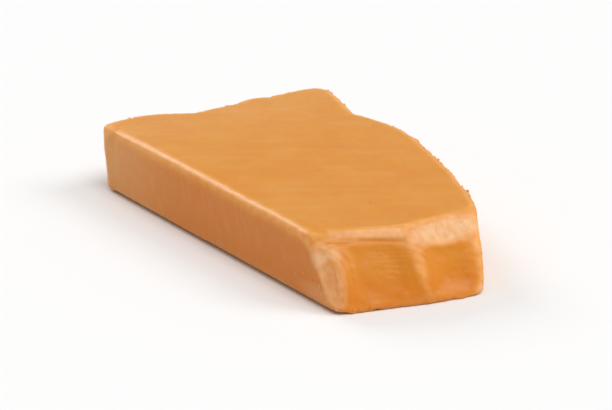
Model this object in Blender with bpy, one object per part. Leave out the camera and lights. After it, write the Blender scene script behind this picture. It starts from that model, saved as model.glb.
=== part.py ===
"""A broken shard of slab caramel, as one closed solid.

The caramel was poured into a flat slab, cut once along a straight side and then
snapped, so the shard has one flat side, a smooth top, a flat base and three
broken walls. The end wall slopes down from the top to a foot that stands further
out, and shallow shell-shaped scars are left where flakes came off.

Frame: +Z is up and the base lies on z = 0. +X runs along the straight cut side,
from its heel to the sloping end, and the cut side faces -Y. The origin is the
centre of the outline's bounding rectangle.
"""

import math

import bmesh
import bpy
from mathutils import Vector

MM = 0.001

# Driving sizes. Corners and scars below are in millimetres from the heel.
THICKNESS = 10.0
CUT_TOP_LENGTH = 53.2
CUT_FOOT_LENGTH = 61.7
WIDTH = 37.2

# How finely the walls are drawn, along and up.
COLUMN_SPACING = 1.0
HEIGHT_STEPS = 10

# How far each kind of edge is rounded. The warm knife leaves a softer rim on the
# cut side than the snap leaves on the broken walls.
CUT_RIM_ROUNDING = 0.8
BROKEN_RIM_ROUNDING = 0.4
FOOT_RIM_ROUNDING = 0.35
RIDGE_ROUNDING = 0.5
RIM_SEGMENTS = 3

# Edges that turn less than this are left as they are, and shaded smooth.
SHALLOWEST_ROUNDED = math.radians(28)

CARAMEL_COLOUR = (0.66, 0.27, 0.045, 1.0)
CARAMEL_ROUGHNESS = 0.36

# The corners, counterclockwise from the heel. Each has its place on the top and
# on the foot, and the belly of the wall between the two: 1 is a straight slope,
# and more runs out gently below the top and then drops steeply to the foot.
HEEL = {"top": (0.0, 0.0), "foot": (0.3, 0.1), "belly": 1.0}
SHOULDER = {"top": (CUT_TOP_LENGTH, 0.0), "foot": (CUT_FOOT_LENGTH, 0.4), "belly": 4.2}
RIB = {"top": (59.4, 12.7), "foot": (64.4, 13.4), "belly": 1.8}
TOE = {"top": (59.9, 25.3), "foot": (65.6, 22.3), "belly": 1.4}
STEP = {"top": (34.2, 34.2), "foot": (34.9, 33.2), "belly": 1.0}
NOTCH = {"top": (15.6, 34.0), "foot": (14.8, 34.9), "belly": 1.0}
TIP = {"top": (4.4, WIDTH), "foot": (5.3, 36.2), "belly": 1.0}
TIP_BACK = {"top": (2.1, 35.6), "foot": (3.0, 34.4), "belly": 1.0}
WAIST = {"top": (2.4, 14.2), "foot": (1.1, 15.2), "belly": 1.0}

# Scars of flakes that came off a wall: the middle of the scar, the way the wall
# faces there (bearing from +X and slope above the horizon, in degrees), the
# half-width and half-height of the hollow, and how deep it bites.
SHOULDER_SCAR = {"at": (60.9, 7.5, 4.5), "faces": (-20, 30), "half": (5.2, 4.6), "bite": 0.5}
THUMB_SCAR = {"at": (63.1, 18.3, 3.9), "faces": (-5, 30), "half": (4.4, 3.6), "bite": 0.8}
FAR_SCAR = {"at": (47.6, 30.4, 4.4), "faces": (71, 3), "half": (7.5, 4.2), "bite": 1.0}
NOTCH_SCAR = {"at": (10.4, 35.9, 4.6), "faces": (76, 6), "half": (4.2, 3.8), "bite": 0.8}
WAIST_SCAR = {"at": (1.2, 25.0, 4.2), "faces": (178, -5), "half": (6.5, 3.7), "bite": 0.9}

# The walls between the corners: how far each stands out of its chord at mid
# length, at the top and at the foot, the depth of the ripples that the break left
# and the wall's scar.
WALLS = (
    {"from": HEEL, "to": SHOULDER, "bow": (-0.3, 0.1), "ripple": 0.0, "scar": None},
    {"from": SHOULDER, "to": RIB, "bow": (0.2, -0.4), "ripple": 0.0, "scar": SHOULDER_SCAR},
    {"from": RIB, "to": TOE, "bow": (-1.0, 0.2), "ripple": 0.0, "scar": THUMB_SCAR},
    {"from": TOE, "to": STEP, "bow": (0.6, 1.2), "ripple": 0.13, "scar": FAR_SCAR},
    {"from": STEP, "to": NOTCH, "bow": (1.7, 1.0), "ripple": 0.1, "scar": None},
    {"from": NOTCH, "to": TIP, "bow": (0.2, 0.8), "ripple": 0.0, "scar": NOTCH_SCAR},
    {"from": TIP, "to": TIP_BACK, "bow": (0.35, 0.35), "ripple": 0.0, "scar": None},
    {"from": TIP_BACK, "to": WAIST, "bow": (0.6, 1.2), "ripple": 0.3, "scar": WAIST_SCAR},
    {"from": WAIST, "to": HEEL, "bow": (2.0, 1.2), "ripple": 0.0, "scar": None},
)

# How fast a corner's belly gives way to the next one's along the wall.
BELLY_FADE = 3.0

# A scar's outline runs from an ellipse at 2 towards a rectangle at more, and it
# dies out this near to the wall's ends.
SCAR_SQUARENESS = 3.0
SCAR_MARGIN = 3.4

# The ripples as waves, each with its length, phase and share of the depth, and
# how far along the wall they lean between the top and the foot.
RIPPLE_WAVES = ((8.6, 0.4, 1.0), (5.1, 2.1, 0.5))
RIPPLE_LEAN = 7.0


def clear_scene():
    for obj in list(bpy.data.objects):
        bpy.data.objects.remove(obj, do_unlink=True)


def arc_point(start, end, bow, share):
    """The point at a share of the way along a shallow arc from start to end.

    The arc stands out of its chord, to the right of the way it runs, by bow.
    """
    chord = Vector(end) - Vector(start)
    outward = Vector((chord.y, -chord.x)).normalized()
    return Vector(start) + chord * share + outward * (bow * 4 * share * (1 - share))


def ripple_at(distance, drop):
    """The height of a broken wall's ripples, which lean as they run down it."""
    along = distance + RIPPLE_LEAN * drop
    return sum(
        share * math.sin(math.tau * along / wave + phase)
        for wave, phase, share in RIPPLE_WAVES
    )


def bitten(point, scar, room):
    """The point, moved level into the shard where the scar has hollowed it.

    Room is the distance to the wall's nearer end. A scar dies out over a margin
    there, which leaves a soft ridge standing between two walls.
    """
    bearing, slope = (math.radians(angle) for angle in scar["faces"])
    level_out = Vector((math.cos(bearing), math.sin(bearing), 0.0))
    across = Vector((-level_out.y, level_out.x, 0.0))
    facing = level_out * math.cos(slope) + Vector((0.0, 0.0, math.sin(slope)))
    upward = facing.cross(across)
    offset = point - Vector(scar["at"])
    half_width, half_height = scar["half"]
    spread = abs(offset.dot(across) / half_width) ** SCAR_SQUARENESS
    spread += abs(offset.dot(upward) / half_height) ** SCAR_SQUARENESS
    excess = offset.dot(facing) - scar["bite"] * (spread - 1)
    ease = min(1.0, room / SCAR_MARGIN)
    return point - level_out * (ease * max(0.0, excess) / math.cos(slope))


def wall_columns(wall):
    """The wall's columns of points, each from the top down to the foot."""
    start, end = wall["from"], wall["to"]
    top_bow, foot_bow = wall["bow"]
    chord = Vector(end["foot"]) - Vector(start["foot"])
    outward = Vector((chord.y, -chord.x)).normalized()
    columns = max(3, round(chord.length / COLUMN_SPACING))
    for column in range(columns):
        share = column / columns
        top = arc_point(start["top"], end["top"], top_bow, share)
        foot = arc_point(start["foot"], end["foot"], foot_bow, share)
        belly = end["belly"] + (start["belly"] - end["belly"]) * (1 - share) ** BELLY_FADE
        ripple = wall["ripple"] * math.sin(math.pi * share) ** 0.5
        room = chord.length * min(share, 1 - share)
        points = []
        for step in range(HEIGHT_STEPS + 1):
            drop = step / HEIGHT_STEPS
            flat = top.lerp(foot, 1 - (1 - drop) ** belly)
            flat += outward * (ripple * ripple_at(chord.length * share, drop))
            point = Vector((flat.x, flat.y, THICKNESS * (1 - drop)))
            if wall["scar"]:
                point = bitten(point, wall["scar"], room)
            points.append(point)
        yield points


def outline_centre(columns):
    """The centre of the bounding rectangle of every column seen from above."""
    xs = [point.x for points in columns for point in points]
    ys = [point.y for points in columns for point in points]
    return Vector(((min(xs) + max(xs)) / 2, (min(ys) + max(ys)) / 2, 0.0))


def round_edge(made, start, end, rounding):
    """Notes how far the edge between two points is to be rounded, if it is one."""
    weight = made.edges.layers.float["bevel_weight_edge"]
    edge = made.edges.get((start, end))
    if edge.calc_face_angle() > SHALLOWEST_ROUNDED:
        edge[weight] = rounding / CUT_RIM_ROUNDING


def build_shard_mesh():
    """Columns of points all round the shard, bridged and capped."""
    walls = [list(wall_columns(wall)) for wall in WALLS]
    columns = [points for wall in walls for points in wall]
    centre = outline_centre(columns)
    made = bmesh.new()
    made.edges.layers.float.new("bevel_weight_edge")
    columns = [[made.verts.new((point - centre) * MM) for point in points] for points in columns]
    neighbours = list(zip(columns, columns[1:] + columns[:1]))
    for near, after in neighbours:
        for step in range(HEIGHT_STEPS):
            made.faces.new((near[step], near[step + 1], after[step + 1], after[step]))
    made.faces.new([points[0] for points in columns])
    made.faces.new([points[-1] for points in reversed(columns)])
    bmesh.ops.recalc_face_normals(made, faces=made.faces)
    cut_columns = len(walls[0])
    for index, (near, after) in enumerate(neighbours):
        rim = CUT_RIM_ROUNDING if index < cut_columns else BROKEN_RIM_ROUNDING
        round_edge(made, near[0], after[0], rim)
        round_edge(made, near[-1], after[-1], FOOT_RIM_ROUNDING)
    corner = 0
    for wall in walls:
        for upper, lower in zip(columns[corner], columns[corner][1:]):
            round_edge(made, upper, lower, RIDGE_ROUNDING)
        corner += len(wall)
    mesh = bpy.data.meshes.new("caramel_shard")
    made.to_mesh(mesh)
    made.free()
    return mesh


def caramel_material():
    material = bpy.data.materials.new("caramel")
    material.use_nodes = True
    shader = material.node_tree.nodes["Principled BSDF"]
    shader.inputs["Base Color"].default_value = CARAMEL_COLOUR
    shader.inputs["Roughness"].default_value = CARAMEL_ROUGHNESS
    shader.inputs["Metallic"].default_value = 0.0
    return material


def build_shard():
    shard = bpy.data.objects.new("caramel_shard", build_shard_mesh())
    shard.data.materials.append(caramel_material())
    bpy.context.scene.collection.objects.link(shard)
    rounding = shard.modifiers.new("soft_rims", "BEVEL")
    rounding.width = CUT_RIM_ROUNDING * MM
    rounding.segments = RIM_SEGMENTS
    rounding.limit_method = "WEIGHT"
    rounding.use_clamp_overlap = False
    shard.data.shade_smooth()
    shard.data.set_sharp_from_angle(angle=SHALLOWEST_ROUNDED)


clear_scene()
build_shard()
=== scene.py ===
import math
import random

import bmesh
import bpy
import numpy as np
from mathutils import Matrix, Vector, noise


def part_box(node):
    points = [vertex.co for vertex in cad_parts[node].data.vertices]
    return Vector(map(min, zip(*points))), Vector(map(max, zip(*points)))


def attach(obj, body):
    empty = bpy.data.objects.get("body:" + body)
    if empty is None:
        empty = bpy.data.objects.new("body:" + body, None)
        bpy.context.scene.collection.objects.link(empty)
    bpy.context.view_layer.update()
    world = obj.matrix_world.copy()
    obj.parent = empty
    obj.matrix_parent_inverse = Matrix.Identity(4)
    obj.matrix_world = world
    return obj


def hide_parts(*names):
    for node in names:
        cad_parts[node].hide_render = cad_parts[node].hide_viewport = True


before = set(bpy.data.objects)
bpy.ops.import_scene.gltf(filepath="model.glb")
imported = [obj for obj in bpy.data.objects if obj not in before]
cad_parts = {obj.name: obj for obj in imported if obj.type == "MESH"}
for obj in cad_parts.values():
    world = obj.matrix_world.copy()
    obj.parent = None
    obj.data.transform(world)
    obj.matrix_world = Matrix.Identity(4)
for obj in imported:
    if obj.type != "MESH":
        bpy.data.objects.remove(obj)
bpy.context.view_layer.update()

# The table: a wide pale matt board that the shard lies on. An even pale backdrop
# behind and above it fills the shadows.
BOARD_SIZE = 20.0
BOARD_COLOUR = (0.885, 0.88, 0.873, 1.0)
BACKDROP_COLOUR = (0.955, 0.965, 0.975, 1.0)
BACKDROP_GLOW = 0.42
BACKDROP_SEEN = 0.95
BOARD_ROUGHNESS = 0.9
BOARD_SHINE = 0.2

board_mesh = bpy.data.meshes.new("pale_board")
board_edge = BOARD_SIZE / 2
board_mesh.from_pydata(
    [(-board_edge, -board_edge, 0), (board_edge, -board_edge, 0),
     (board_edge, board_edge, 0), (-board_edge, board_edge, 0)],
    [],
    [(0, 1, 2, 3)],
)
board = bpy.data.objects.new("pale_board", board_mesh)
bpy.context.scene.collection.objects.link(board)
board_paint = bpy.data.materials.new("pale_board_paint")
board_paint.use_nodes = True
board_shader = board_paint.node_tree.nodes["Principled BSDF"]
board_shader.inputs["Base Color"].default_value = BOARD_COLOUR
board_shader.inputs["Roughness"].default_value = BOARD_ROUGHNESS
board_shader.inputs["Specular IOR Level"].default_value = BOARD_SHINE
board_mesh.materials.append(board_paint)

backdrop = bpy.data.worlds.new("pale_backdrop")
backdrop.use_nodes = True
backdrop_light = backdrop.node_tree.nodes["Background"]
backdrop_light.inputs["Color"].default_value = BACKDROP_COLOUR
seen = backdrop.node_tree.nodes.new("ShaderNodeLightPath").outputs["Is Camera Ray"]
brightness = backdrop.node_tree.nodes.new("ShaderNodeMapRange")
brightness.inputs["To Min"].default_value = BACKDROP_GLOW
brightness.inputs["To Max"].default_value = BACKDROP_SEEN
backdrop.node_tree.links.new(seen, brightness.inputs["Value"])
backdrop.node_tree.links.new(brightness.outputs["Result"], backdrop_light.inputs["Strength"])
bpy.context.scene.world = backdrop
bpy.context.scene.view_settings.view_transform = "Standard"

# The camera: a long lens at arm's length, a little above the shard and off the
# corner where the straight cut side meets the sloping broken end.
CAMERA_AZIMUTH = 56.8
CAMERA_ELEVATION = 20.0
CAMERA_DISTANCE = 0.52
CAMERA_LENS = 215
AIM_ABOVE_BASE = 0.0042
AIM_BESIDE_CENTRE = (-0.0005, -0.0036)
NEAREST_SEEN = 0.02


def towards(azimuth, elevation):
    """The way to a camera or light: degrees round from the cut side, then degrees up."""
    azimuth, elevation = math.radians(azimuth), math.radians(elevation)
    return Vector((
        math.cos(elevation) * math.sin(azimuth),
        -math.cos(elevation) * math.cos(azimuth),
        math.sin(elevation),
    ))


low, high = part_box("caramel_shard")
centre = (low + high) / 2
aim = Vector((centre.x + AIM_BESIDE_CENTRE[0], centre.y + AIM_BESIDE_CENTRE[1], AIM_ABOVE_BASE))
camera_side = towards(CAMERA_AZIMUTH, CAMERA_ELEVATION)
camera_data = bpy.data.cameras.new("long_lens")
camera_data.lens = CAMERA_LENS
camera_data.clip_start = NEAREST_SEEN
camera = bpy.data.objects.new("camera", camera_data)
camera.location = aim + camera_side * CAMERA_DISTANCE
camera.rotation_euler = (-camera_side).to_track_quat("-Z", "Y").to_euler()
bpy.context.scene.collection.objects.link(camera)
bpy.context.scene.camera = camera

# The shard: soft cream caramel poured into a slab, cut along one side with a warm
# knife and then snapped. The top is poured smooth, the cut side is drawn smooth by
# the blade, and the broken walls keep shell-shaped ripples and chipped rims.
MM = 0.001
SHARD_SEED = 12
SKIN_VOXEL = 0.26 * MM
SKIN_SMOOTHING = {"share": 0.5, "rounds": 4}
WELD_DISTANCE = 0.002 * MM
HEEL_INSET = 0.94 * MM


def smooth_step(start, end, values):
    """A mask that runs softly from 0 at start to 1 at end, whichever is greater."""
    share = np.clip((values - start) / (end - start), 0.0, 1.0)
    return share * share * (3 - 2 * share)


def lumps(points, length, octaves=3, seed=0.0):
    """Fractal noise at each point, about -1 to 1, with lumps about length across."""
    scaled = points / length + seed
    return np.array([noise.fractal(Vector(p), 1.0, 2.0, octaves) for p in scaled])


def read_points(mesh):
    points = np.zeros(len(mesh.vertices) * 3)
    mesh.vertices.foreach_get("co", points)
    return points.reshape(-1, 3)


def read_normals(mesh):
    normals = np.zeros(len(mesh.vertices) * 3)
    mesh.vertex_normals.foreach_get("vector", normals)
    return normals.reshape(-1, 3)


def write_points(mesh, points):
    mesh.vertices.foreach_set("co", points.reshape(-1))
    mesh.update()


def rubbed_down(mesh, points, rounds, stay=0.3):
    """The points after each has moved towards its neighbours a number of times."""
    pairs = np.zeros(len(mesh.edges) * 2, dtype=np.int64)
    mesh.edges.foreach_get("vertices", pairs)
    first, second = pairs.reshape(-1, 2).T
    count = len(points)
    neighbours = np.bincount(first, minlength=count) + np.bincount(second, minlength=count)
    smoothed_or_rim_highlight = points.copy()
    for _ in range(rounds):
        for axis in range(3):
            total = np.bincount(first, smoothed_or_rim_highlight[second, axis], count)
            total += np.bincount(second, smoothed_or_rim_highlight[first, axis], count)
            smoothed_or_rim_highlight[:, axis] = stay * smoothed_or_rim_highlight[:, axis] + (1 - stay) * total / neighbours
    return smoothed_or_rim_highlight


def standing_out(mesh, points, normals, rounds):
    """How far each point stands above the rubbed-down surface: high on a rim."""
    return np.einsum("ij,ij->i", points - rubbed_down(mesh, points, rounds), normals)


def skin_from_slab(name):
    """The CAD shard drawn again as one even skin, fine enough to carry its relief."""
    welded = bmesh.new()
    welded.from_mesh(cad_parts["caramel_shard"].data)
    bmesh.ops.remove_doubles(welded, verts=welded.verts, dist=WELD_DISTANCE)
    rough = bpy.data.meshes.new(name + "_rough")
    welded.to_mesh(rough)
    welded.free()
    drawn = bpy.data.objects.new(name + "_rough", rough)
    bpy.context.scene.collection.objects.link(drawn)
    skin = drawn.modifiers.new("skin", "REMESH")
    skin.mode = "VOXEL"
    skin.voxel_size = SKIN_VOXEL
    melt = drawn.modifiers.new("melt", "SMOOTH")
    melt.factor = SKIN_SMOOTHING["share"]
    melt.iterations = SKIN_SMOOTHING["rounds"]
    graph = bpy.context.evaluated_depsgraph_get()
    mesh = bpy.data.meshes.new_from_object(drawn.evaluated_get(graph))
    mesh.name = name
    bpy.data.objects.remove(drawn, do_unlink=True)
    return mesh


rng = random.Random(SHARD_SEED)
shard_mesh = skin_from_slab("caramel_piece")
heel = np.array([low.x + HEEL_INSET, low.y, low.z])
slab_height = high.z - low.z
points = read_points(shard_mesh)
normals = read_normals(shard_mesh)
from_heel = points - heel
along_cut, from_cut, above_foot = from_heel.T

# Which face of the shard each point lies on: each mask is 1 on its face and 0 off it.
LEVEL_FACE = (0.80, 0.97)
CUT_FACE = (0.75, 0.97)
CUT_FACE_DEPTH = (1.6 * MM, 0.9 * MM)
CUT_RIM_DEPTH = (2.2 * MM, 1.2 * MM)
CUT_RIM_LENGTH = 52 * MM
CUT_RIM_SPARED = 0.9
END_START = (50 * MM, 53 * MM)
END_FACING = 0.35

on_top = smooth_step(*LEVEL_FACE, normals[:, 2])
on_base = smooth_step(*LEVEL_FACE, -normals[:, 2])
on_cut = smooth_step(*CUT_FACE, -normals[:, 1]) * smooth_step(*CUT_FACE_DEPTH, from_cut)
near_cut = smooth_step(*CUT_RIM_DEPTH, from_cut) * (along_cut < CUT_RIM_LENGTH)
on_break = np.clip(1 - on_top - on_base - on_cut, 0, 1) * (1 - CUT_RIM_SPARED * near_cut)
past_end_start = smooth_step(*END_START, along_cut)
on_end = on_break * past_end_start * (normals[:, 0] > END_FACING)

# The poured top swells gently and keeps the faint streaks of its pouring. The knife
# left slanting drag lines on the cut side.
POUR_SWELL = {"depth": 0.07 * MM, "length": 13 * MM, "stretch": [1, 1, 0]}
POUR_STREAK = {"depth": 0.02 * MM, "length": 2.0 * MM, "stretch": 8.0, "heading": math.radians(58)}
BLADE_DRAG = {"depth": 0.022 * MM, "length": 2.2 * MM, "stretch": 0.22, "lean": 0.45}

heading = POUR_STREAK["heading"]
poured = points[:, 0] * math.cos(heading) + points[:, 1] * math.sin(heading)
aside = points[:, 1] * math.cos(heading) - points[:, 0] * math.sin(heading)
nothing = np.zeros(len(points))
streaks = np.stack([poured / POUR_STREAK["stretch"], aside, nothing], axis=1)
dragged = points[:, 0] + BLADE_DRAG["lean"] * points[:, 2]
drag_lines = np.stack([dragged, nothing, points[:, 2] * BLADE_DRAG["stretch"]], axis=1)
swells = lumps(points * POUR_SWELL["stretch"], POUR_SWELL["length"], octaves=2)
relief = on_top * POUR_SWELL["depth"] * swells
relief += on_top * POUR_STREAK["depth"] * lumps(streaks, POUR_STREAK["length"], octaves=2)
relief += on_cut * BLADE_DRAG["depth"] * lumps(drag_lines, BLADE_DRAG["length"])

# The broken walls: broad swells, ripples that ring out from where the snap began,
# and a fine grain. The end wall is calmer.
SNAP_START = np.array([30, 40, 14]) * MM
BREAK_SWELL = {"depth": 0.15 * MM, "length": 3.8 * MM}
BREAK_GRAIN = {"depth": 0.05 * MM, "length": 0.9 * MM}
BREAK_RIPPLE = {"depth": 0.05 * MM, "spacing": 1.3 * MM, "wander": 0.9 * MM, "patch": 5 * MM}
RIPPLE_SQUASH = [1, 1, 1.6]
RIPPLE_SHOWS = (-0.1, 0.5)
END_CALM = 0.5
END_RIPPLE_CALM = 0.75

ring = np.linalg.norm((points - (heel + SNAP_START)) * RIPPLE_SQUASH, axis=1)
ring += BREAK_RIPPLE["wander"] * lumps(points, BREAK_RIPPLE["patch"], octaves=2, seed=4.2)
ripple = np.sin(math.tau * ring / BREAK_RIPPLE["spacing"])
ripple *= smooth_step(*RIPPLE_SHOWS, lumps(points, BREAK_RIPPLE["patch"], octaves=2, seed=9.1))
ripple *= 1 - END_RIPPLE_CALM * on_end
calm = 1 - END_CALM * on_end
relief += on_break * calm * BREAK_SWELL["depth"] * lumps(points, BREAK_SWELL["length"], seed=1.7)
relief += on_break * BREAK_RIPPLE["depth"] * ripple
relief += on_break * calm * BREAK_GRAIN["depth"] * lumps(points, BREAK_GRAIN["length"], seed=3.3)

# A bevel splintered off under the end's top rim. It grows from the shoulder to its
# full height at the rib, with a crease under it. Level hackle lines run along the same
# stretch of the end.
BEVEL = {"run": 12.7 * MM, "height": 1.75 * MM, "start": 0.35, "bow": 0.8, "whitening": 0.6}
BEVEL_OPENS = (0.0, 0.08)
BEVEL_CLOSES = (1.0, 0.93)
CREASE = {"depth": 0.16 * MM, "width": 0.34 * MM, "rim": (0.3, 1.3)}
HACKLE = {"depth": 0.016 * MM, "spacing": 0.62 * MM}
HACKLE_WANDER = {"depth": 0.5 * MM, "length": 4 * MM, "stretch": [1, 0.3, 1]}
HACKLE_GAPS = {"length": 2.2 * MM, "stretch": [1, 0.4, 1], "range": (0.0, 0.5)}

wander = lumps(points * HACKLE_WANDER["stretch"], HACKLE_WANDER["length"], octaves=2, seed=2.5)
level_line = points[:, 2] + HACKLE_WANDER["depth"] * wander
hackle = np.sin(math.tau * level_line / HACKLE["spacing"])
gaps = lumps(points * HACKLE_GAPS["stretch"], HACKLE_GAPS["length"], octaves=2, seed=5.5)
hackle *= smooth_step(*HACKLE_GAPS["range"], gaps)
relief += on_end * (from_cut < BEVEL["run"]) * HACKLE["depth"] * hackle

along_bevel = from_cut / BEVEL["run"]
grown = np.clip(along_bevel, 0, 1)
crease_drop = BEVEL["height"] * (BEVEL["start"] + (1 - BEVEL["start"]) * grown ** BEVEL["bow"])
from_crease = (above_foot - (slab_height - crease_drop)) / CREASE["width"]
bevel_share = smooth_step(*BEVEL_OPENS, grown) * smooth_step(*BEVEL_CLOSES, along_bevel)
relief -= on_end * bevel_share * CREASE["depth"] * np.exp(-from_crease ** 2)
on_bevel = on_end * bevel_share * smooth_step(*CREASE["rim"], from_crease)

# The end's two wide scoops are shallower than the frame's, so each is partly filled.
# Their middles and half-sizes are in millimetres from the cut side and the foot.
END_SCOOPS = (
    {"at": (6.5, 5.2), "half": (4.6, 2.9), "fill": 0.42},
    {"at": (18.3, 5.0), "half": (4.4, 2.9), "fill": 0.55},
)
for scoop in END_SCOOPS:
    offset = (from_heel[:, 1:] - np.array(scoop["at"]) * MM) / (np.array(scoop["half"]) * MM)
    relief += on_end * scoop["fill"] * MM * np.exp(-(offset ** 2).sum(axis=1))

# The warm blade left the cut side's rims rounder than the broken ones. The toe, at the
# end's far corner, slumped and turns away.
SLUMP_ROUNDS = 70
BLADE_REACH = (3.4 * MM, 1.8 * MM)
CRISP_HEEL = (0.4 * MM, 3.0 * MM)
HEEL_FOOT = (7 * MM, 3 * MM)
HEEL_FOOT_SLUMP = 0.6
TOE_START = (57 * MM, 60 * MM)
TOE_REACH = (19 * MM, 22 * MM)
TOE_RIM = (22.2 * MM, 24.4 * MM)
TOE_SLUMP = 0.45
TOE_TURN = {"depth": 0.55 * MM, "from_cut": 20 * MM, "run": 4.4 * MM, "along": (56 * MM, 59 * MM)}

heel_foot = HEEL_FOOT_SLUMP * smooth_step(*HEEL_FOOT, above_foot)
clear_of_heel = np.maximum(smooth_step(*CRISP_HEEL, along_cut), heel_foot)
near_blade = clear_of_heel * smooth_step(*BLADE_REACH, from_cut)
near_toe = smooth_step(*TOE_START, along_cut) * smooth_step(*TOE_REACH, from_cut)
toe_rim = smooth_step(*TOE_START, along_cut) * smooth_step(*TOE_RIM, from_cut)
slumped = np.maximum(near_blade, TOE_SLUMP * near_toe)
toe_turn = np.clip((from_cut - TOE_TURN["from_cut"]) / TOE_TURN["run"], 0, 1) ** 2
points += slumped[:, None] * (rubbed_down(shard_mesh, points, SLUMP_ROUNDS) - points)
points[:, 0] -= TOE_TURN["depth"] * toe_turn * smooth_step(*TOE_TURN["along"], along_cut)

# A long splinter came off the corner between the cut side and the end. Its scar runs
# straight from the shoulder to the foot on the cut side, and fades into the end. The
# end's wall beside the scar is melted smooth.
SPLINTER = {"facing": math.radians(45), "inset": 0.35 * MM, "uneven": 0.12 * MM, "lump": 1.6 * MM}
# The scar is whitened, and painted paler still as a painted edge glow.
SPLINTER_WHITENING_AND_GLOW = 0.55
SPLINTER_EDGE = (-0.25 * MM, 0.15 * MM)
SPLINTER_FADE = (4.2 * MM, 0.4 * MM)
CUT_SKIN = 0.45 * MM
CORNER_BAND = 0.4 * MM
SCAR_MELTS_FROM = (0.4 * MM, 1.8 * MM)
SCAR_MELTS_TO = (6.0 * MM, 4.0 * MM)
SCAR_CLEAR_OF_TOP = (9.7 * MM, 8.6 * MM)
SCAR_CLEAR_OF_FOOT = (0.4 * MM, 2.0 * MM)


def corner_at(height):
    """How far from the heel the cut side reaches at a height above the foot."""
    beside = (from_cut < CUT_SKIN) & (np.abs(above_foot - height) < CORNER_BAND)
    return along_cut[beside].max()


foot_and_shoulder = [corner_at(0), corner_at(slab_height)]
from_heel = points - heel
along_cut, from_cut, above_foot = from_heel.T
scar_edge = np.interp(above_foot, [0, slab_height], foot_and_shoulder) - SPLINTER["inset"]
scar_out = math.sin(SPLINTER["facing"])
scar_side = math.cos(SPLINTER["facing"])
past_scar = (along_cut - scar_edge) * scar_out - from_cut * scar_side
past_scar += SPLINTER["uneven"] * lumps(points, SPLINTER["lump"], seed=7.7)
on_splinter = smooth_step(*SPLINTER_EDGE, past_scar) * smooth_step(*SPLINTER_FADE, from_cut)
split_off = np.clip(past_scar, 0, None)
points[:, 0] -= split_off * scar_out
points[:, 1] += split_off * scar_side

by_scar = smooth_step(*SCAR_MELTS_TO, from_cut) * smooth_step(*SCAR_MELTS_FROM, from_cut)
by_scar *= smooth_step(*END_START, along_cut) * smooth_step(*SCAR_CLEAR_OF_TOP, above_foot)
by_scar *= smooth_step(*SCAR_CLEAR_OF_FOOT, above_foot)
points += by_scar[:, None] * (rubbed_down(shard_mesh, points, SLUMP_ROUNDS) - points)

# The top's streaks are painted paler, a painted highlight on their faint ripples, and the drag lines
# are a little paler.
# Painted sheen: the top and the cut side by the heel are painted paler, as if lit more there.
STREAK_HIGHLIGHT = 0.1
DRAG_PALENESS = 0.1
STREAK_HIGHLIGHT_WIDTH = 1.5 * MM
PALE_DRAG_WIDTH = 0.8 * MM
HEEL_SHEEN = 0.16
CUT_HEEL_LIGHTER = 1.5
HEEL_REACH = (22 * MM, 2 * MM)
LINE_SHOWS = (0.1, 0.6)

streak_highlights = smooth_step(*LINE_SHOWS, lumps(streaks, STREAK_HIGHLIGHT_WIDTH, seed=3.9))
pale_drags = smooth_step(*LINE_SHOWS, lumps(drag_lines, PALE_DRAG_WIDTH, seed=5.1))
by_heel = np.maximum(CUT_HEEL_LIGHTER * on_cut, on_top) * smooth_step(*HEEL_REACH, along_cut)
pale_lines_and_heel_sheen = STREAK_HIGHLIGHT * on_top * streak_highlights
pale_lines_and_heel_sheen += DRAG_PALENESS * on_cut * pale_drags
pale_lines_and_heel_sheen += HEEL_SHEEN * by_heel

# Where the break left rough, whitened caramel: the middle and half-sizes of each
# patch in millimetres from the heel, how white it is, and how deep it is torn in
# millimetres.
SCUFFS = (
    {"at": (60.4, 18.9, 8.5), "half": (2.6, 6.6, 1.6), "strength": 1.0, "rough": 0.13},
    {"at": (57.0, 1.4, 6.9), "half": (2.2, 2.0, 1.9), "strength": 0.9, "rough": 0.07},
    {"at": (57.4, 6.6, 9.3), "half": (2.6, 6.2, 0.6), "strength": 0.35, "rough": 0.03},
    {"at": (57.2, 0.1, 1.7), "half": (5.0, 0.8, 1.8), "strength": 0.3, "rough": 0.05},
    {"at": (65.4, 22.0, 0.9), "half": (0.9, 1.2, 0.9), "strength": 0.9, "rough": 0.08},
)
SCUFF_FADE = (1.25, 0.55)
SCUFF_LUMP = 1.0 * MM
SCUFF_STRETCH = [1.2, 0.6, 1.1]
SCUFF_BASE = 0.4

# This mask carries the whitened bevel, scar and scuffs, and painted light too: the scar's painted
# glow, the streaks' painted highlight and the heel's painted sheen.
scuff_and_sheen = np.maximum(BEVEL["whitening"] * on_bevel, SPLINTER_WHITENING_AND_GLOW * on_splinter)
scuff_and_sheen = np.maximum(scuff_and_sheen, pale_lines_and_heel_sheen)
torn = np.clip(SCUFF_BASE + lumps(points * SCUFF_STRETCH, SCUFF_LUMP, octaves=4, seed=6.4), 0, 1)
for patch in SCUFFS:
    offset = (from_heel - np.array(patch["at"]) * MM) / (np.array(patch["half"]) * MM)
    reach = smooth_step(*SCUFF_FADE, np.linalg.norm(offset, axis=1))
    scuff_and_sheen = np.maximum(scuff_and_sheen, patch["strength"] * reach)
    relief -= reach * patch["rough"] * MM * torn
points += normals * relief[:, None]
write_points(shard_mesh, points)

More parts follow.
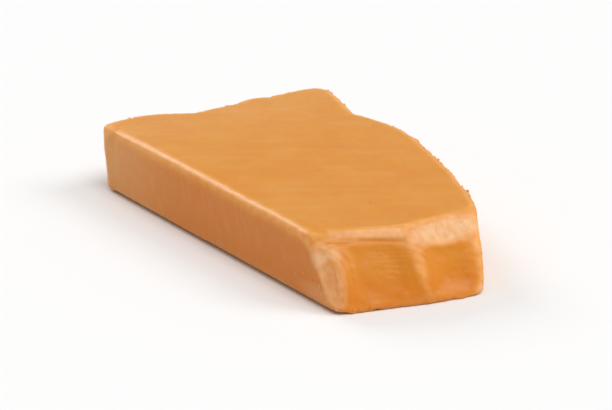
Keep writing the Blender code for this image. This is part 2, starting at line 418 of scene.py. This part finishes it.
# Broken rims are nibbled, and flakes are missing from them. Small bubbles burst in
# the poured top, under the knife and against the tray. Radius and bite are in
# millimetres.
RIM_ROUNDS = 8
RIM_STANDS = (0.04 * MM, 0.12 * MM)
BREAK_NIBBLED = 1.15
TOP_NIBBLED = 0.15
RIM_NIBBLE = {"depth": 0.16 * MM, "length": 1.5 * MM}
TOP_CHIPS = {"count": 170, "radius": (0.5, 1.7), "bite": (0.04, 0.2), "uneven": 0.12}
FOOT_CHIPS = {"count": 80, "radius": (0.4, 1.3), "bite": (0.04, 0.18), "uneven": 0.12}
POUR_BUBBLES = {"count": 26, "radius": (0.12, 0.3), "bite": (0.04, 0.12), "uneven": 0.0}
CUT_BUBBLES = {"count": 22, "radius": (0.15, 0.4), "bite": (0.05, 0.14), "uneven": 0.03}
BASE_BUBBLES = {"count": 90, "radius": (0.2, 0.7), "bite": (0.05, 0.16), "uneven": 0.03}
CHIP_TILT = 0.3
CHIP_LUMP = 0.5 * MM
TOP_RIM_LEVEL = 0.85
FOOT_RIM_LEVEL = 0.1
RIM_ENOUGH = 0.6
INSIDE_A_FACE = 0.99


def bite_out(bites, places):
    """Rounded hollows pressed in at random places: lost flakes or burst bubbles."""
    spots = [(points[i].copy(), normals[i]) for i in np.flatnonzero(places)]
    for _ in range(bites["count"]):
        where, outward = spots[rng.randrange(len(spots))]
        radius = rng.uniform(*bites["radius"]) * MM
        bite = rng.uniform(*bites["bite"]) * MM
        tilt = Vector([rng.uniform(-CHIP_TILT, CHIP_TILT) for _ in range(3)])
        facing = np.array((Vector(outward) + tilt).normalized())
        ball = where + facing * (radius - bite)
        near = np.flatnonzero(np.linalg.norm(points - ball, axis=1) < radius * (1 + bites["uneven"]))
        offset = points[near] - ball
        away = np.linalg.norm(offset, axis=1)
        reach = radius * (1 + bites["uneven"] * lumps(points[near], CHIP_LUMP, octaves=2))
        pushed = np.maximum(away, reach)
        points[near] = ball + offset * (pushed / away)[:, None]


points = read_points(shard_mesh)
normals = read_normals(shard_mesh)
rim = smooth_step(*RIM_STANDS, standing_out(shard_mesh, points, normals, RIM_ROUNDS))
broken_rim = rim * np.clip(BREAK_NIBBLED * on_break + TOP_NIBBLED * on_top, 0, 1)
nibble = np.clip(lumps(points, RIM_NIBBLE["length"], seed=8.8), 0, 1)
points -= normals * (RIM_NIBBLE["depth"] * broken_rim * nibble)[:, None]
level = (points[:, 2] - low.z) / slab_height
bite_out(TOP_CHIPS, (broken_rim > RIM_ENOUGH) & (level > TOP_RIM_LEVEL))
bite_out(FOOT_CHIPS, (broken_rim > RIM_ENOUGH) & (level < FOOT_RIM_LEVEL))
bite_out(POUR_BUBBLES, on_top > INSIDE_A_FACE)
bite_out(CUT_BUBBLES, on_cut > INSIDE_A_FACE)
bite_out(BASE_BUBBLES, on_base > INSIDE_A_FACE)
points[:, 2] = np.clip(points[:, 2], low.z, None)
write_points(shard_mesh, points)

# Painted highlight: rims are painted paler where light and glow would catch them, least at the foot
# and less along the broken rims, except the end's. Broken walls are a little deeper all over, and
# painted shade makes the cut side, deepening towards the end, and the end's foot the deepest caramel.
RIM_HIGHLIGHT_ROUNDS = 40
RIM_HIGHLIGHT_STANDS = (0.05 * MM, 0.19 * MM)
TOE_RIM_HIGHLIGHT = 0.8
BROKEN_RIM_LESS_HIGHLIGHT = 0.5
FOOT_RIM_LESS_HIGHLIGHT = 0.75
FOOT_RIM = (2.0 * MM, 0.9 * MM)
CUT_SHADE_DEEPENS = (-6 * MM, 26 * MM)
BREAK_FRESHNESS = 0.42
END_FOOT_SHADE = (5.5 * MM, 1.5 * MM)

normals = read_normals(shard_mesh)
smoothed_or_rim_highlight = smooth_step(*RIM_HIGHLIGHT_STANDS, standing_out(shard_mesh, points, normals, RIM_HIGHLIGHT_ROUNDS))
smoothed_or_rim_highlight = np.maximum(smoothed_or_rim_highlight, TOE_RIM_HIGHLIGHT * toe_rim)
smoothed_or_rim_highlight *= 1 - BROKEN_RIM_LESS_HIGHLIGHT * on_break * (1 - on_end)
smoothed_or_rim_highlight *= 1 - FOOT_RIM_LESS_HIGHLIGHT * smooth_step(*FOOT_RIM, above_foot)
# Painted shade: the end's foot and the cut side, more towards the end, are painted deeper.
fresh_break_and_foot_shade = BREAK_FRESHNESS * on_break * (1 + on_end * smooth_step(*END_FOOT_SHADE, above_foot))
fresh_and_shade_mask = np.maximum(fresh_break_and_foot_shade, on_cut * smooth_step(*CUT_SHADE_DEEPENS, along_cut))

# Cream caramel: opaque but waxy, so light spreads a little under its skin and its thin rims glow. Milk
# and sugar leave it cloudy. Painted light is mixed into its colour too: paler rims as painted
# highlight, paler streaks and heel as painted highlight and sheen, and a deeper cut side and end foot
# as painted shade.
CARAMEL = (0.725, 0.283, 0.024, 1.0)
CARAMEL_DEEP = (0.710, 0.262, 0.016, 1.0)
CARAMEL_MILKY = (0.745, 0.315, 0.040, 1.0)
# The deepest colour: fresh breaks, and painted shade on the cut side and the end's foot.
CARAMEL_FRESH_AND_SHADE = (0.690, 0.200, 0.005, 1.0)
# The pale rim colour is a painted highlight.
CARAMEL_RIM_HIGHLIGHT = (0.86, 0.415, 0.12, 1.0)
# The scuff colour also serves as painted sheen and highlight.
CARAMEL_SCUFF_AND_SHEEN = (0.89, 0.58, 0.32, 1.0)
FRESH_AND_SHADE_SHARE = 0.9
FRESH_DULLS = 0.08
SCUFF_DULLS = 0.16
GRAIN = {"size": 0.35 * MM, "height": 0.05 * MM, "strength": 0.3}
WAXY_SHINE = 0.34
CARAMEL_IOR = 1.5
GLOW_RADIUS = (1.0, 0.48, 0.18)
SHARD_GLOW = {"weight": 0.55, "depth": 1.2 * MM}

skin_group = bpy.data.node_groups.new("caramel_skin", "ShaderNodeTree")
for socket_name in ("Rim_highlight", "Scuffed_and_sheen", "Fresh_and_shade"):
    skin_group.interface.new_socket(socket_name, in_out="INPUT", socket_type="NodeSocketFloat")
skin_group.interface.new_socket("Colour", in_out="OUTPUT", socket_type="NodeSocketColor")
skin_group.interface.new_socket("Roughness", in_out="OUTPUT", socket_type="NodeSocketFloat")
skin_group.interface.new_socket("Normal", in_out="OUTPUT", socket_type="NodeSocketVector")
nodes = skin_group.nodes
links = skin_group.links
wear_and_light = nodes.new("NodeGroupInput").outputs
finish = nodes.new("NodeGroupOutput").inputs
place = nodes.new("ShaderNodeTexCoord").outputs["Object"]


def cloud(size, detail, distortion=0.0):
    """A noise mask in the caramel, with patches about size across."""
    texture = nodes.new("ShaderNodeTexNoise")
    texture.inputs["Scale"].default_value = 1 / size
    texture.inputs["Detail"].default_value = detail
    texture.inputs["Distortion"].default_value = distortion
    links.new(place, texture.inputs["Vector"])
    return texture.outputs["Fac"]


def spread(value, noise_range, result=(0.0, 1.0)):
    """The value's share of its noise range, spread from one end of result to the other."""
    ranged = nodes.new("ShaderNodeMapRange")
    ranged.inputs["From Min"].default_value = noise_range[0]
    ranged.inputs["From Max"].default_value = noise_range[1]
    ranged.inputs["To Min"].default_value = result[0]
    ranged.inputs["To Max"].default_value = result[1]
    links.new(value, ranged.inputs["Value"])
    return ranged.outputs["Result"]


def combine(operation, *values):
    """One Math node, fed by sockets or plain numbers."""
    step = nodes.new("ShaderNodeMath")
    step.operation = operation
    for value, socket in zip(values, step.inputs):
        if isinstance(value, float):
            socket.default_value = value
        else:
            links.new(value, socket)
    return step.outputs["Value"]


def blend_colour(share, first, second):
    """From the first colour at share 0 to the second at share 1."""
    mix = nodes.new("ShaderNodeMix")
    mix.data_type = "RGBA"
    links.new(share, mix.inputs["Factor"])
    for colour, socket in ((first, mix.inputs["A"]), (second, mix.inputs["B"])):
        if isinstance(colour, tuple):
            socket.default_value = colour
        else:
            links.new(colour, socket)
    return mix.outputs["Result"]


pale_and_deep = spread(cloud(9 * MM, detail=3), noise_range=(0.38, 0.66))
milk = spread(cloud(4 * MM, detail=4, distortion=0.4), noise_range=(0.45, 0.75), result=(0.0, 0.6))
rim_highlight_patches = spread(cloud(1.6 * MM, detail=4), noise_range=(0.35, 0.7), result=(0.5, 1.0))
scuff_patches = spread(cloud(1.0 * MM, detail=6), noise_range=(0.3, 0.7), result=(0.4, 0.85))
colour = blend_colour(pale_and_deep, CARAMEL_DEEP, CARAMEL)
colour = blend_colour(milk, colour, CARAMEL_MILKY)
# Deeper caramel on fresh breaks, and painted shade.
colour = blend_colour(combine("MULTIPLY", wear_and_light["Fresh_and_shade"], FRESH_AND_SHADE_SHARE), colour, CARAMEL_FRESH_AND_SHADE)
# Painted highlight on the rims.
colour = blend_colour(combine("MULTIPLY", wear_and_light["Rim_highlight"], rim_highlight_patches), colour, CARAMEL_RIM_HIGHLIGHT)
# Whitened scuffs, with painted sheen, highlight and glow.
colour = blend_colour(combine("MULTIPLY", wear_and_light["Scuffed_and_sheen"], scuff_patches), colour, CARAMEL_SCUFF_AND_SHEEN)
links.new(colour, finish["Colour"])

gloss = spread(cloud(3 * MM, detail=4), noise_range=(0.3, 0.7), result=(0.28, 0.38))
gloss = combine("MULTIPLY_ADD", wear_and_light["Fresh_and_shade"], FRESH_DULLS, gloss)
gloss = combine("MULTIPLY_ADD", wear_and_light["Scuffed_and_sheen"], SCUFF_DULLS, gloss)
links.new(gloss, finish["Roughness"])

grain = nodes.new("ShaderNodeBump")
grain.inputs["Strength"].default_value = GRAIN["strength"]
grain.inputs["Distance"].default_value = GRAIN["height"]
links.new(cloud(GRAIN["size"], detail=4), grain.inputs["Height"])
links.new(grain.outputs["Normal"], finish["Normal"])


def caramel_material(name, glow):
    """A caramel whose skin comes from the group, with its own glow under the skin."""
    material = bpy.data.materials.new(name)
    material.use_nodes = True
    tree = material.node_tree
    shader = tree.nodes["Principled BSDF"]
    shader.inputs["IOR"].default_value = CARAMEL_IOR
    shader.inputs["Specular IOR Level"].default_value = WAXY_SHINE
    shader.inputs["Subsurface Weight"].default_value = glow["weight"]
    shader.inputs["Subsurface Radius"].default_value = GLOW_RADIUS
    shader.inputs["Subsurface Scale"].default_value = glow["depth"]
    skin = tree.nodes.new("ShaderNodeGroup")
    skin.node_tree = skin_group
    tree.links.new(skin.outputs["Colour"], shader.inputs["Base Color"])
    tree.links.new(skin.outputs["Roughness"], shader.inputs["Roughness"])
    tree.links.new(skin.outputs["Normal"], shader.inputs["Normal"])
    return material, skin


shard_caramel, shard_skin = caramel_material("shard_caramel", SHARD_GLOW)
# The masks go to the material: painted rim highlight, scuffs with painted sheen, and fresh breaks with
# painted shade.
for mask_name, values in (("Rim_highlight", smoothed_or_rim_highlight), ("Scuffed_and_sheen", scuff_and_sheen), ("Fresh_and_shade", fresh_and_shade_mask)):
    mask = shard_mesh.attributes.new(mask_name.lower(), "FLOAT", "POINT")
    mask.data.foreach_set("value", values.astype(np.float32))
    reader = shard_caramel.node_tree.nodes.new("ShaderNodeAttribute")
    reader.attribute_name = mask_name.lower()
    shard_caramel.node_tree.links.new(reader.outputs["Fac"], shard_skin.inputs[mask_name])

shard_mesh.shade_smooth()
shard_mesh.materials.clear()
shard_mesh.materials.append(shard_caramel)
shard = bpy.data.objects.new("caramel_piece", shard_mesh)
bpy.context.scene.collection.objects.link(shard)
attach(shard, "root")
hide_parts("caramel_shard")

# The crumbs: flakes and shavings that fell from the rims in the snap and stuck where
# they landed: along the broken rims, at the low corner of the cut side and, a few, on
# the top near the end.
CRUMB_SEED = 21
RIM_CRUMBS = {"count": 34, "radius": (0.08, 0.2)}
CUT_CRUMBS = {"count": 7, "radius": (0.1, 0.2)}
TOP_CRUMBS = {"count": 3, "radius": (0.09, 0.16)}
CRUMB_LENGTH = (0.9, 1.7)
CRUMB_WIDTH = (0.6, 1.0)
CRUMB_THICKNESS = (0.3, 0.6)
CRUMB_SUNK = 0.3
CRUMB_UNEVEN = 0.5
CRUMB_LUMPS = 1.3
CRUMB_VARIETY = 50
CRUMB_GLOW = {"weight": 0.4, "depth": 0.1 * MM}
# The crumbs take most of the pale rim colour as a painted highlight for their glints, some scuff, and
# the deepest colour in full.
CRUMB_WEAR_AND_LIGHT = {"Rim_highlight": 0.8, "Scuffed_and_sheen": 0.3, "Fresh_and_shade": 1.0}
FOOT_CLEARANCE = 0.05
LOW_CORNER_START = 46 * MM
LOW_CORNER_LEVEL = 0.45
TOP_CRUMBS_START = 48 * MM
WELL_ON_FACE = 0.9
RIM_STANDS_OUT = 0.5


def scatter_crumbs(drawn, crumbs, places, rng):
    """Small uneven flakes, each partly sunk in the shard's skin at a random place."""
    spots = np.flatnonzero(places)
    for _ in range(crumbs["count"]):
        spot = spots[rng.randrange(len(spots))]
        outward = Vector(normals[spot])
        radius = rng.uniform(*crumbs["radius"]) * MM
        flake = bmesh.ops.create_icosphere(drawn, subdivisions=2, radius=radius)["verts"]
        stretch = Vector([rng.uniform(*side) for side in (CRUMB_LENGTH, CRUMB_WIDTH, CRUMB_THICKNESS)])
        turn = outward.to_track_quat("Z", "X").to_matrix()
        middle = Vector(points[spot]) + outward * radius * stretch.z * (1 - 2 * CRUMB_SUNK)
        twist = rng.uniform(0, math.tau)
        shift = Vector((rng.uniform(0, CRUMB_VARIETY), 0, 0))
        for vert in flake:
            swell = 1 + CRUMB_UNEVEN * noise.noise(vert.co / radius * CRUMB_LUMPS + shift)
            flat = vert.co * swell * stretch
            twisted_x = flat.x * math.cos(twist) - flat.y * math.sin(twist)
            twisted_y = flat.x * math.sin(twist) + flat.y * math.cos(twist)
            vert.co = middle + turn @ Vector((twisted_x, twisted_y, flat.z))
            vert.co.z = max(vert.co.z, low.z)


crumb_rng = random.Random(CRUMB_SEED)
crumb_shape = bmesh.new()
off_the_foot = level > FOOT_CLEARANCE
low_corner = (on_cut > WELL_ON_FACE) & (along_cut > LOW_CORNER_START) & (level < LOW_CORNER_LEVEL)
by_the_rim = (on_top > WELL_ON_FACE) & (along_cut > TOP_CRUMBS_START)
scatter_crumbs(crumb_shape, RIM_CRUMBS, (broken_rim > RIM_STANDS_OUT) & off_the_foot, crumb_rng)
scatter_crumbs(crumb_shape, CUT_CRUMBS, low_corner & off_the_foot, crumb_rng)
scatter_crumbs(crumb_shape, TOP_CRUMBS, by_the_rim, crumb_rng)
crumb_mesh = bpy.data.meshes.new("caramel_crumbs")
crumb_shape.to_mesh(crumb_mesh)
crumb_shape.free()
crumb_mesh.shade_smooth()
crumb_caramel, crumb_skin = caramel_material("crumb_caramel", CRUMB_GLOW)
for mask_name, mask_share in CRUMB_WEAR_AND_LIGHT.items():
    crumb_skin.inputs[mask_name].default_value = mask_share
crumb_mesh.materials.append(crumb_caramel)
crumbs = bpy.data.objects.new("caramel_crumbs", crumb_mesh)
bpy.context.scene.collection.objects.link(crumbs)
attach(crumbs, "root")

# The lights: three wide soft lights that light the whole table evenly. One stands over
# the broken end. Two weaker ones, off to the right and behind at the left, draw bright
# lines along the rims.


def soft_light(name, azimuth, elevation, width, strength):
    """A distant light, placed like the camera, that looks width degrees wide."""
    data = bpy.data.lights.new(name, "SUN")
    data.angle = math.radians(width)
    data.energy = strength
    side = towards(azimuth, elevation)
    light = bpy.data.objects.new(name, data)
    light.location = centre + side
    light.rotation_euler = (-side).to_track_quat("-Z", "Y").to_euler()
    bpy.context.scene.collection.objects.link(light)


soft_light("key_light", azimuth=88, elevation=62, width=38, strength=1.25)
soft_light("back_right_light", azimuth=148, elevation=43, width=34, strength=1.0)
soft_light("back_left_light", azimuth=-86, elevation=31, width=26, strength=0.90)
